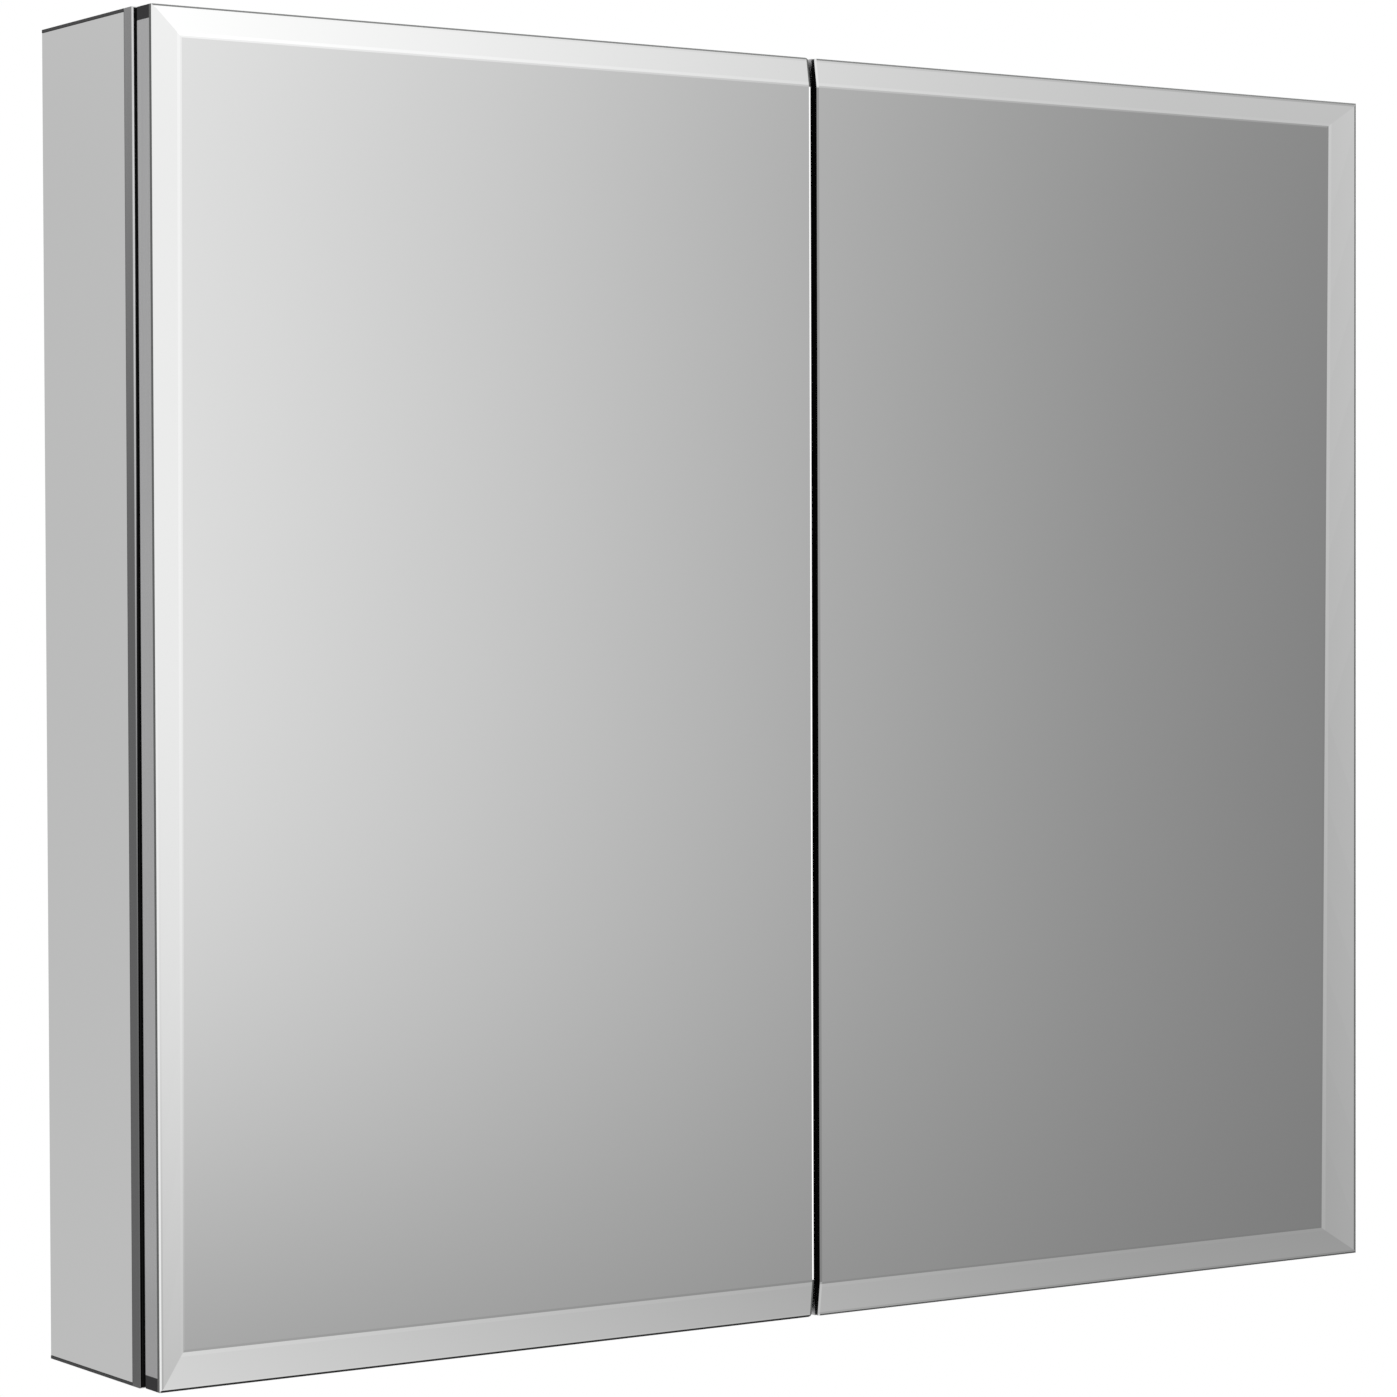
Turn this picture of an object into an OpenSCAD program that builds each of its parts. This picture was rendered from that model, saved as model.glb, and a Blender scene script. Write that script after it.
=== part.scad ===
// Wall cabinet with two mirrored doors, each with a bevel on its three outer edges.
// +X is to the right, +Y into the wall and +Z up. The origin is the centre of the back face.
// Left-hand pieces are drawn in (in, out): the distance in from the outer side face, and the
// distance out from the wall. Right-hand pieces are their mirror images.

/* [Cabinet] */
// Overall width
cabinet_w = 762; // [500:1:1000]
// Overall height
cabinet_h = 660; // [550:1:900]
// From the wall to the front of the face frame
case_d = 100.5; // [88:0.5:150]
// Thickness of the walls, side mirror and covers included
wall_t = 14; // [12:0.5:18]
// Thickness of the aluminium skins of the hollow profiles
skin_t = 1.5; // [1:0.1:2]
// Thickness of the back sheet
back_t = 1.5; // [1:0.1:3]
// Thickness of the top and bottom covers
cover_t = 1.5; // [1:0.1:2]
// Depth of the face frame
face_d = 9; // [7:0.5:14]
// Radius of the face frame's front edge
face_r = 1.5; // [0.5:0.1:2.5]
// Width of the black dust seal
seal_w = 11; // [6:0.5:11.5]
// Thickness of the dust seal
seal_t = 1.5; // [0.8:0.1:1.8]

/* [Mirrors] */
// Thickness of the side mirrors
side_glass_t = 3; // [2:0.5:4]
// Thickness of the mirror at the back of the case
back_glass_t = 3; // [2:0.5:5]
// Thickness of the door mirrors
front_glass_t = 5; // [4:0.5:8]
// Width of the bevel
bevel_w = 16; // [6:0.5:30]
// Depth of the bevel at the edge
bevel_d = 2; // [0.5:0.1:2.5]
// Chamfer along the meeting edges of the door mirrors
arris = 0.6; // [0.2:0.1:1]
// Thickness of the mirrors on the inside of the doors
inner_glass_t = 3; // [2:0.5:4]

/* [Doors] */
// Gap between the face frame and the doors
door_gap = 5; // [4.5:0.1:7]
// Gap between the two doors
centre_gap = 4; // [3:0.5:8]
// How much lower each door's top is than the case's
door_margin = 1; // [0:0.5:4]
// Depth of the aluminium door frame
door_frame_d = 12.5; // [12:0.5:16]
// Width of the door stiles where the doors meet
meeting_stile_w = 20; // [16:1:30]
// Width of the top and bottom door rails
rail_w = 26; // [22:1:40]
// Height of the caps on the ends of the hinge stiles
cap_h = 6.5; // [4:0.5:12]
// How far a cap's plug reaches into its stile
cap_plug_h = 8; // [4:0.5:14]

/* [Hinges] */
// Height of the hinges above and below the middle
hinge_z = 240; // [150:1:240]
// Radius of the hinge pins
pin_r = 2; // [1.5:0.1:2.2]
// From a door's outer edge to its hinge pins
pin_in = 7; // [6.5:0.1:7.5]
// From the back of a door to its hinge pins
pin_out = 7; // [6.5:0.1:7]
// Thickness of the swan-neck arms
arm_t = 4; // [3:0.1:4]
// Height of the arms
arm_h = 10; // [8:0.5:12]
// Gap between the side wall and an arm's neck
arm_off = 5; // [4:0.5:7]
// Length of an arm's tail
tail_len = 44; // [36:1:48]
// Thickness of the hinge plates
plate_t = 2.5; // [2:0.1:3]
// From the face frame's front to the plate screws
plate_setback = 37; // [34:1:40]

/* [Shelves] */
// Thickness of the glass shelves
shelf_t = 6; // [4:1:8]
// Depth of the shelves
shelf_d = 76; // [50:1:76]
// Spacing of the rows of shelf-pin holes
pitch = 32; // [20:1:40]
// Rows of holes above and below the middle row
rows = 6; // [2:1:6]
// Rows between the middle row and each shelf
shelf_row = 3; // [1:1:5]
// Radius of the shelf-pin holes
shelf_hole_r = 2.5; // [2:0.1:3]

/* [Wall fixing] */
// Distance between the screw holes across
fix_x = 406.4; // [250:0.1:420]
// Radius of the screw holes
fix_r = 3.25; // [2.5:0.05:4]
// Height of the inside fixing rails
fix_rail_h = 40; // [25:1:60]
// Thickness of the fixing rails
fix_rail_t = 2.5; // [1.5:0.1:3]

/* [Hidden] */
$fn = 48;

// Cuts run this far past the faces that they open
past = 1;
// Clearance of a piece that slots in beside another
fit_gap = 0.2;
// Running clearance of a hinge arm on its pin, and of a pin in its cup
pin_gap = 0.08;
cup_pin_gap = 0.03;

x_out = cabinet_w / 2;
z_out = cabinet_h / 2;
panel_front = case_d - face_d;
panel_z = z_out - cover_t;
z_in = z_out - wall_t;
panel_mid = (side_glass_t + wall_t) / 2;

door_back = case_d + door_gap;
glass_back = door_back + door_frame_d;
glass_front = glass_back + front_glass_t;
door_w = (cabinet_w - centre_gap) / 2;
door_z = z_out - door_margin;
rail_z = door_z - rail_w;

// Webs inside the hollow side panels, each with a port for a cover screw
web_outs = [back_t + 16, panel_front - 13];
port_r = 3.2;
screw_r = 1.55;
screw_bore_r = 1.6;
screw_head_r = 3.2;
screw_head_h = 1.3;
screw_len = 22;

rivet_r = 1.6;
rivet_bore_r = 1.65;
rivet_head_r = 3;
rivet_head_h = 1.2;
rivet_tail_r = 2.4;
rivet_tail_h = 1.8;
rivet_zs = [-panel_z * 0.66, 0, panel_z * 0.66];
rivet_xs = [-x_out * 0.63, 0, x_out * 0.63];
rivet_edge_z = (z_in + panel_z) / 2;

fix_z = z_in - fix_rail_h / 2;

// Hinges: the arm's neck runs from the pin into the case, and its drop runs back beside the wall
pin_d = door_back + pin_out;
drop_in = wall_t + arm_off;
neck_top = pin_d + arm_t / 2;
bend_r = 2 * arm_t;
eye_r = pin_r + 2;
plate_screw_out = case_d - plate_setback;
tail_front = plate_screw_out + 20;
tail_back = tail_front - tail_len;
plate_wing = 14;
plate_screw_z = 14;
plate_h = 2 * plate_screw_z + 12;
plate_rim = 1.5;
adjuster_r = 2.4;
adjuster_bore_r = 1.6;
cup_wall = 1.2;
cup_end_wall = 2.4;
cup_floor = 1;
cup_gap_in = 1.2;
cup_gap_z = 0.6;
cup_in_0 = skin_t;
cup_in_1 = drop_in + arm_t + cup_gap_in + cup_wall;
cup_z = arm_h / 2 + cup_gap_z + cup_end_wall;
hinge_stile_w = cup_in_1 + 6;
flange_t = 1;
flange_rim = 1;
flange_ear_r = 5;
cup_screw_z = cup_z + 5;
cup_screw_in = (cup_in_0 + cup_in_1) / 2 + 2;

// Round-headed screws of the hinges: length under the head, and the heads' heights and tapers
small_screw_len = 7;
plate_head_h = 2;
plate_head_taper = 0.8;
cup_head_h = 1.2;
cup_head_taper = 0.6;
adjuster_head_h = 1.4;
slot_w = 0.7;
slot_len = 3.2;

// Shelf pins stand in two columns of holes; their spoons carry the pads and the glass
column_outs = [back_t + back_glass_t + 27, case_d - plate_setback];
pin_flange_t = 1.2;
pin_flange_r = 4.3;
spoon_len = 8;
spoon_r = 3.2;
spoon_flat = 1;
pad_t = 0.8;
shelf_end_gap = 1.6;
shelf_back = back_t + back_glass_t + 3.5;
shelf_corner_r = 5;

catch_x = 45;
catch_w = 32;
catch_h = 9;
catch_len = 18;
magnet_w = 24;
magnet_h = 5;
magnet_len = 15;
magnet_proud = 0.8;
magnet_air = 0.3;
strike_t = 1;
strike_over = 1;
strike_under = 3;
bumper_r = 4;
bumper_x = 24;
bumper_air = 0.25;

// ---- Helpers ----

// A box given by its ranges: in from the left outer face, out from the wall, and height
module block(i0, i1, o0, o1, z0, z1)
    translate([i0 - x_out, -o1, z0]) cube([i1 - i0, o1 - o0, z1 - z0]);

// Children drawn flat in (in, out), made into a column from z0 to z1
module column(z0, z1)
    translate([-x_out, 0, z0]) mirror([0, 1, 0]) linear_extrude(z1 - z0) children();

// Children drawn flat in (out, height), made into a bar from x0 to x1
module bar(x0, x1)
    translate([x0, 0, 0]) mirror([0, 1, 0]) rotate([90, 0, 90]) linear_extrude(x1 - x0) children();

// Children drawn flat in (x, height), made into a slab from out o0 to o1
module slab(o0, o1)
    translate([0, -o0, 0]) rotate([90, 0, 0]) linear_extrude(o1 - o0) children();

// A flat rectangle given by its ranges
module rect(a0, a1, b0, b1)
    translate([a0, b0]) square([a1 - a0, b1 - b0]);

// A round bar along X, at an out and a height
module rod_x(x0, x1, out, z, r)
    translate([x0, -out, z]) rotate([0, 90, 0]) cylinder(r = r, h = x1 - x0);

// A round bar along Y, from out o0 to o1
module rod_y(o0, o1, x, z, r)
    translate([x, -o0, z]) rotate([90, 0, 0]) cylinder(r = r, h = o1 - o0);

// The mirror images that make right-hand and bottom pieces
module right()
    mirror([1, 0, 0]) children();
module lower()
    mirror([0, 0, 1]) children();

// The piece together with its mirror image
module both_x() {
    children();
    right() children();
}
module both_z() {
    children();
    lower() children();
}

// The quarter square outside a round corner, to be cut away; it points to (+, +)
module corner_cut(r)
    difference() {
        rect(0, r + past, 0, r + past);
        circle(r);
    }

// The cross recess of a screw, cut down from a head's top at height 0
module cross(depth, length = slot_len, width = slot_w)
    for (turn = [0, 90]) rotate(turn)
        translate([-length / 2, -width / 2, -depth]) cube([length, width, depth + past]);

// ---- Case ----

// Hollow profile of a side panel, with two webs and a screw port in each
module side_profile() {
    difference() {
        rect(side_glass_t, wall_t, back_t, panel_front);
        rect(side_glass_t + skin_t, wall_t - skin_t, back_t + skin_t, panel_front - skin_t);
    }
    for (web = web_outs)
        difference() {
            union() {
                rect(side_glass_t + skin_t / 2, wall_t - skin_t / 2, web - skin_t / 2, web + skin_t / 2);
                translate([panel_mid, web]) circle(port_r);
            }
            translate([panel_mid, web]) circle(screw_bore_r);
        }
}

module side_panel()
    color("silver") difference() {
        column(-panel_z, panel_z) side_profile();
        for (out = column_outs, row = [-rows:rows])
            rod_x(wall_t - skin_t - x_out - past, wall_t - x_out + past, out, row * pitch, shelf_hole_r);
        both_z() for (z = [-1, 1] * plate_screw_z)
            rod_x(wall_t - skin_t - x_out - past, wall_t - x_out + past, plate_screw_out, hinge_z + z,
                screw_bore_r);
        for (z = rivet_zs)
            rod_y(back_t - past, back_t + skin_t + past, panel_mid - x_out, z, rivet_bore_r);
    }

// Hollow profile of the top panel, in (out, height)
module top_profile() {
    difference() {
        rect(back_t, panel_front, z_in, panel_z);
        rect(back_t + skin_t, panel_front - skin_t, z_in + skin_t, panel_z - skin_t);
    }
    for (web = web_outs) rect(web - skin_t / 2, web + skin_t / 2, z_in + skin_t / 2, panel_z - skin_t / 2);
}

module top_panel()
    color("silver") difference() {
        bar(wall_t - x_out, x_out - wall_t) top_profile();
        for (x = rivet_xs)
            rod_y(back_t - past, back_t + skin_t + past, x, rivet_edge_z, rivet_bore_r);
    }

module cover_screw_at(web)
    translate([panel_mid - x_out, -web, z_out]) mirror([0, 0, 1]) children();

module top_cover()
    color("silver") difference() {
        translate([-x_out, -panel_front, panel_z]) cube([cabinet_w, panel_front, cover_t]);
        both_x() for (web = web_outs) cover_screw_at(web) {
            translate([0, 0, -past]) cylinder(r = screw_bore_r, h = cover_t + 2 * past);
            cylinder(r1 = screw_head_r, r2 = screw_bore_r, h = screw_head_h);
        }
    }

module cover_screws()
    color("gainsboro") both_z() both_x() for (web = web_outs) cover_screw_at(web)
        difference() {
            union() {
                cylinder(r1 = screw_head_r - 0.05, r2 = screw_r, h = screw_head_h);
                cylinder(r = screw_r, h = screw_len);
            }
            mirror([0, 0, 1]) cross(0.8);
        }

// Calls its children at each rivet, which points out from the wall
module at_rivets() {
    both_x() for (z = rivet_zs) translate([panel_mid - x_out, 0, z]) rotate([90, 0, 0]) children();
    both_z() for (x = rivet_xs) translate([x, 0, rivet_edge_z]) rotate([90, 0, 0]) children();
}

module back_panel()
    color("lightgray") difference() {
        block(side_glass_t, cabinet_w - side_glass_t, 0, back_t, -panel_z, panel_z);
        at_rivets() {
            translate([0, 0, -past]) cylinder(r = rivet_bore_r, h = back_t + 2 * past);
            cylinder(r1 = rivet_head_r, r2 = rivet_bore_r, h = rivet_head_h);
        }
        fixing_holes();
    }

module back_rivets()
    color("gainsboro") at_rivets() {
        cylinder(r1 = rivet_head_r - 0.05, r2 = rivet_r, h = rivet_head_h);
        cylinder(r = rivet_r, h = back_t + skin_t + rivet_tail_h);
        translate([0, 0, back_t + skin_t]) cylinder(r1 = rivet_tail_r, r2 = rivet_r + 0.2, h = rivet_tail_h);
    }

module fixing_holes()
    both_z() both_x() rod_y(-past, back_t + fix_rail_t + past, fix_x / 2, fix_z, fix_r);

module fixing_rail()
    color("silver") difference() {
        block(wall_t, cabinet_w - wall_t, back_t, back_t + fix_rail_t, z_in - fix_rail_h, z_in);
        fixing_holes();
    }

module back_mirror()
    color("lightsteelblue")
    block(wall_t + fit_gap, cabinet_w - wall_t - fit_gap, back_t, back_t + back_glass_t,
        -z_in + fix_rail_h + fit_gap, z_in - fix_rail_h - fit_gap);

module side_mirror()
    color("lightsteelblue") block(0, side_glass_t, 0, panel_front, -panel_z, panel_z);

// Hollow profile of the face frame in (in, out), rounded at its outer front edge
module face_profile()
    difference() {
        rect(0, wall_t, panel_front, case_d);
        rect(skin_t, wall_t - skin_t, panel_front + skin_t, case_d - skin_t);
        translate([face_r, case_d - face_r]) mirror([1, 0]) corner_cut(face_r);
    }

module face_stile()
    color("gainsboro") intersection() {
        column(-z_out, z_out) face_profile();
        slab(panel_front - past, case_d + past) polygon([
            [-x_out, -z_out], [wall_t - x_out, -z_in], [wall_t - x_out, z_in], [-x_out, z_out]]);
    }

module face_rail()
    color("gainsboro") intersection() {
        bar(-x_out, x_out) translate([0, z_out]) rotate(-90) face_profile();
        slab(panel_front - past, case_d + past) polygon([
            [-x_out, z_out], [wall_t - x_out, z_in], [x_out - wall_t, z_in], [x_out, z_out]]);
    }

// An L in each corner of the face frame's hollow
key_len = 26;
key_gap = 0.15;
module corner_keys()
    color("dimgray") both_x() both_z() slab(panel_front + skin_t + key_gap, case_d - skin_t - key_gap)
        translate([-x_out + skin_t + key_gap, z_out - skin_t - key_gap]) {
            key_w = wall_t - 2 * (skin_t + key_gap);
            rect(0, key_w, -key_len, 0);
            rect(0, key_len, -key_w, 0);
        }

seal_edge = 0.6;
module dust_seal()
    color("#151515") slab(case_d, case_d + seal_t) difference() {
        rect(-x_out + seal_edge, x_out - seal_edge, -z_out + seal_edge, z_out - seal_edge);
        rect(-x_out + seal_edge + seal_w, x_out - seal_edge - seal_w,
            -z_out + seal_edge + seal_w, z_out - seal_edge - seal_w);
    }

// ---- Shelves ----

shelf_bottom = spoon_flat + pad_t;
module shelf()
    color("lightcyan") translate([0, 0, shelf_row * pitch + shelf_bottom]) linear_extrude(shelf_t)
        difference() {
            half = x_out - wall_t - shelf_end_gap;
            rect(-half, half, -shelf_back - shelf_d, -shelf_back);
            for (side = [-1, 1]) scale([side, 1])
                translate([half - shelf_corner_r, shelf_corner_r - shelf_back - shelf_d])
                    mirror([0, 1]) corner_cut(shelf_corner_r);
        }

module at_shelf_pins()
    both_x() for (row = [-1, 1] * shelf_row, out = column_outs)
        translate([wall_t - x_out, -out, row * pitch]) children();

module shelf_pins()
    color("silver") at_shelf_pins() rotate([0, 90, 0]) {
        translate([0, 0, -5]) cylinder(r = shelf_hole_r - 0.05, h = 5);
        difference() {
            union() {
                cylinder(r = pin_flange_r, h = pin_flange_t);
                cylinder(r = spoon_r, h = pin_flange_t + spoon_len);
            }
            translate([-spoon_flat - pin_flange_r, -pin_flange_r, pin_flange_t])
                cube([pin_flange_r, 2 * pin_flange_r, spoon_len + past]);
        }
    }

module shelf_pads()
    color("white") at_shelf_pins()
        translate([shelf_end_gap, -2.4, spoon_flat]) cube([pin_flange_t + spoon_len - shelf_end_gap, 4.8, pad_t]);

// ---- Catches ----

catch_front = door_back - strike_t - magnet_air;
module catch_bodies()
    color("dimgray") both_z() both_x() difference() {
        translate([catch_x - catch_w / 2, magnet_proud - catch_front, -z_in]) cube([catch_w, catch_len, catch_h]);
        translate([catch_x - magnet_w / 2, -catch_front, -z_in + (catch_h - magnet_h) / 2])
            cube([magnet_w, magnet_len, magnet_h]);
    }

module catch_magnets()
    color("gray") both_z() both_x()
        translate([catch_x - magnet_w / 2, -catch_front, -z_in + (catch_h - magnet_h) / 2])
            cube([magnet_w, magnet_len, magnet_h]);

module catch_strikes()
    color("silver") both_z()
        slab(door_back - strike_t, door_back)
            rect(-catch_x - catch_w / 2, -catch_x + catch_w / 2, -z_in - strike_under,
                -z_in + catch_h + strike_over);

module bumpers()
    color("white") both_z()
        rod_y(case_d + seal_t + bumper_air, door_back, -bumper_x, (z_in + z_out) / 2, bumper_r);

// ---- Doors, drawn for the left ----

// Bevelled mirror: wedges are cut from its outer, top and bottom edges, and an arris from the fourth
module door_mirror()
    color("lightsteelblue") difference() {
        block(0, door_w, glass_back, glass_front, -door_z, door_z);
        column(-z_out, z_out) edge_wedge();
        both_z() bar(-x_out - past, past) translate([0, door_z]) rotate(-90) edge_wedge();
        column(-z_out, z_out)
            polygon([[door_w - arris, glass_front], [door_w, glass_front - arris],
                [door_w + past, glass_front - arris], [door_w + past, glass_front + past],
                [door_w - arris, glass_front + past]]);
    }

// The wedge that a bevel takes off an edge that runs along in = 0
module edge_wedge() {
    slope = bevel_d / bevel_w;
    polygon([[-past, glass_front - bevel_d - slope * past], [bevel_w, glass_front],
        [bevel_w, glass_front + past], [-past, glass_front + past]]);
}

// Hollow rectangular tube profile
module tube(a0, a1, b0, b1)
    difference() {
        rect(a0, a1, b0, b1);
        rect(a0 + skin_t, a1 - skin_t, b0 + skin_t, b1 - skin_t);
    }

module hinge_stile()
    color("gainsboro") difference() {
        column(cap_h - door_z, door_z - cap_h) tube(0, hinge_stile_w, door_back, glass_back);
        both_z() {
            block(cup_in_0, cup_in_1, door_back - past, glass_back + past, hinge_z - cup_z, hinge_z + cup_z);
            for (z = [-1, 1] * cup_screw_z)
                rod_y(door_back - past, door_back + skin_t + past, cup_screw_in - x_out, hinge_z + z,
                    screw_bore_r);
        }
    }

module stile_caps()
    color("#2b2b2b") both_z() {
        block(0, hinge_stile_w, door_back, glass_back, door_z - cap_h, door_z);
        inset = skin_t + fit_gap;
        block(inset, hinge_stile_w - inset, door_back + inset, glass_back - inset,
            door_z - cap_h - cap_plug_h, door_z - cap_h);
    }

module meeting_stile()
    color("gainsboro") column(-rail_z, rail_z)
        tube(door_w - meeting_stile_w, door_w, door_back, glass_back);

module door_rail()
    color("gainsboro") {
        bar(hinge_stile_w - x_out, door_w - x_out - skin_t) tube(door_back, glass_back, rail_z, door_z);
        block(door_w - skin_t, door_w, door_back, glass_back, rail_z, door_z);
    }

module door_core()
    color("tan")
    block(hinge_stile_w, door_w - meeting_stile_w, door_back + inner_glass_t, glass_back, -rail_z, rail_z);

module inner_mirror()
    color("lightsteelblue") block(hinge_stile_w + fit_gap, door_w - meeting_stile_w - fit_gap,
        door_back, door_back + inner_glass_t, -rail_z + fit_gap, rail_z - fit_gap);

// ---- Hinges, drawn for the left ----

module hinge_plate_outline() {
    rect(tail_back - 2 * plate_rim, tail_front + plate_rim, -arm_h / 2 - plate_rim, arm_h / 2 + plate_rim);
    rect(plate_screw_out - plate_wing / 2, plate_screw_out + plate_wing / 2, -plate_h / 2 + 4,
        plate_h / 2 - 4);
    for (z = [-1, 1] * (plate_h / 2 - plate_wing / 2)) translate([plate_screw_out, z])
        circle(plate_wing / 2);
}

module hinge_plates()
    color("silver") both_x() both_z() difference() {
        bar(wall_t - x_out, wall_t + plate_t - x_out) translate([0, hinge_z]) hinge_plate_outline();
        for (z = [-1, 1] * plate_screw_z)
            rod_x(wall_t - x_out - past, wall_t + plate_t - x_out + past, plate_screw_out, hinge_z + z,
                screw_bore_r + 0.1);
    }

module hinge_plate_screws()
    color("gainsboro") both_x() both_z() for (z = [-1, 1] * plate_screw_z)
        translate([wall_t + plate_t - x_out, -plate_screw_out, hinge_z + z]) rotate([0, 90, 0])
            difference() {
                union() {
                    translate([0, 0, -small_screw_len]) cylinder(r = screw_r, h = small_screw_len);
                    cylinder(r1 = screw_head_r, r2 = screw_head_r - plate_head_taper, h = plate_head_h);
                }
                translate([0, 0, plate_head_h]) cross(0.9);
            }

// Swan-neck in (in, out): tail beside the wall, drop, bend, neck and the eye on the pin
module arm_outline()
    difference() {
        union() {
            rect(wall_t + plate_t, drop_in + arm_t, tail_back, tail_front);
            rect(drop_in, drop_in + arm_t, tail_front - past, neck_top - bend_r);
            intersection() {
                translate([drop_in + arm_t - bend_r, neck_top - bend_r]) difference() {
                    circle(bend_r);
                    circle(bend_r - arm_t);
                }
                rect(drop_in + arm_t - bend_r, drop_in + arm_t, neck_top - bend_r, neck_top);
            }
            rect(pin_in, drop_in + arm_t - bend_r, pin_d - arm_t / 2, neck_top);
            translate([pin_in, pin_d]) circle(eye_r);
        }
        translate([pin_in, pin_d]) circle(pin_r + pin_gap);
    }

adjuster_outs = [tail_back + 8, tail_front - 9];
module hinge_arms()
    color("silver") both_x() both_z() difference() {
        column(hinge_z - arm_h / 2, hinge_z + arm_h / 2) arm_outline();
        for (out = adjuster_outs)
            rod_x(wall_t + plate_t - x_out - past, drop_in + arm_t - x_out + past, out, hinge_z,
                adjuster_bore_r);
    }

module hinge_adjusters()
    color("gainsboro") both_x() both_z() for (out = adjuster_outs)
        translate([drop_in + arm_t - x_out, -out, hinge_z]) rotate([0, 90, 0]) difference() {
            union() {
                translate([0, 0, plate_t + wall_t - drop_in - arm_t])
                    cylinder(r = screw_r, h = drop_in + arm_t - wall_t - plate_t);
                cylinder(r = adjuster_r, h = adjuster_head_h);
            }
            translate([0, 0, adjuster_head_h]) cross(0.8, 2.8, 0.6);
        }

module hinge_cups()
    color("silver") both_z() difference() {
        union() {
            block(cup_in_0, cup_in_1, door_back, glass_back, hinge_z - cup_z, hinge_z + cup_z);
            block(cup_in_0 + 0.3, cup_in_1 + 3 * flange_rim, door_back - flange_t, door_back,
                hinge_z - cup_z - flange_rim, hinge_z + cup_z + flange_rim);
            slab(door_back - flange_t, door_back) for (z = [-1, 1] * cup_screw_z)
                translate([cup_screw_in - x_out, hinge_z + z]) circle(flange_ear_r);
        }
        block(cup_in_0 + cup_wall, cup_in_1 - cup_wall, door_back - flange_t - past, glass_back - cup_floor,
            hinge_z - cup_z + cup_end_wall, hinge_z + cup_z - cup_end_wall);
        translate([pin_in - x_out, -pin_d, hinge_z - cup_z - past])
            cylinder(r = pin_r + cup_pin_gap, h = 2 * (cup_z + past));
        for (z = [-1, 1] * cup_screw_z)
            rod_y(door_back - flange_t - past, door_back + past, cup_screw_in - x_out, hinge_z + z,
                screw_bore_r + 0.1);
    }

module hinge_pins()
    color("gray") both_z() translate([pin_in - x_out, -pin_d, hinge_z - cup_z])
        cylinder(r = pin_r, h = 2 * cup_z);

module cup_screws()
    color("gainsboro") both_z() for (z = [-1, 1] * cup_screw_z)
        translate([cup_screw_in - x_out, flange_t - door_back, hinge_z + z]) rotate([-90, 0, 0])
            difference() {
                union() {
                    translate([0, 0, -small_screw_len]) cylinder(r = screw_r, h = small_screw_len);
                    cylinder(r1 = screw_head_r, r2 = screw_head_r - cup_head_taper, h = cup_head_h);
                }
                translate([0, 0, cup_head_h]) cross(0.6);
            }

// ---- Nodes ----

side_panel();  // side_panel_left
right() side_panel();  // side_panel_right
top_panel();
lower() top_panel();  // bottom_panel
top_cover();
lower() top_cover();  // bottom_cover
back_panel();
fixing_rail();  // fixing_rail_top
lower() fixing_rail();  // fixing_rail_bottom
back_mirror();
side_mirror();  // side_mirror_left
right() side_mirror();  // side_mirror_right
face_stile();  // face_stile_left
right() face_stile();  // face_stile_right
face_rail();  // face_rail_top
lower() face_rail();  // face_rail_bottom
corner_keys();
dust_seal();
cover_screws();
back_rivets();
shelf();  // shelf_upper
translate([0, 0, -2 * shelf_row * pitch]) shelf();  // shelf_lower
shelf_pins();
shelf_pads();
catch_bodies();
catch_magnets();
hinge_plates();
hinge_plate_screws();
hinge_arms();
hinge_adjusters();
door_mirror();  // door_mirror_left
hinge_stile();  // hinge_stile_left
stile_caps();  // stile_caps_left
meeting_stile();  // meeting_stile_left
door_rail();  // door_rail_top_left
lower() door_rail();  // door_rail_bottom_left
door_core();  // door_core_left
inner_mirror();  // inner_mirror_left
hinge_cups();  // hinge_cups_left
hinge_pins();  // hinge_pins_left
cup_screws();  // cup_screws_left
catch_strikes();  // catch_strikes_left
bumpers();  // bumpers_left
right() door_mirror();  // door_mirror_right
right() hinge_stile();  // hinge_stile_right
right() stile_caps();  // stile_caps_right
right() meeting_stile();  // meeting_stile_right
right() door_rail();  // door_rail_top_right
right() lower() door_rail();  // door_rail_bottom_right
right() door_core();  // door_core_right
right() inner_mirror();  // inner_mirror_right
right() hinge_cups();  // hinge_cups_right
right() hinge_pins();  // hinge_pins_right
right() cup_screws();  // cup_screws_right
right() catch_strikes();  // catch_strikes_right
right() bumpers();  // bumpers_right
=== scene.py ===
"""Looks of a wall-hung medicine cabinet: bevelled mirror doors, mirrored sides, aluminium frames and
glass shelves.

Lengths are metres in the cabinet's own frame: +X right, +Y into the wall, +Z up, origin on the wall."""
import math

import bpy
import numpy as np
from mathutils import Matrix, Vector


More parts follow.
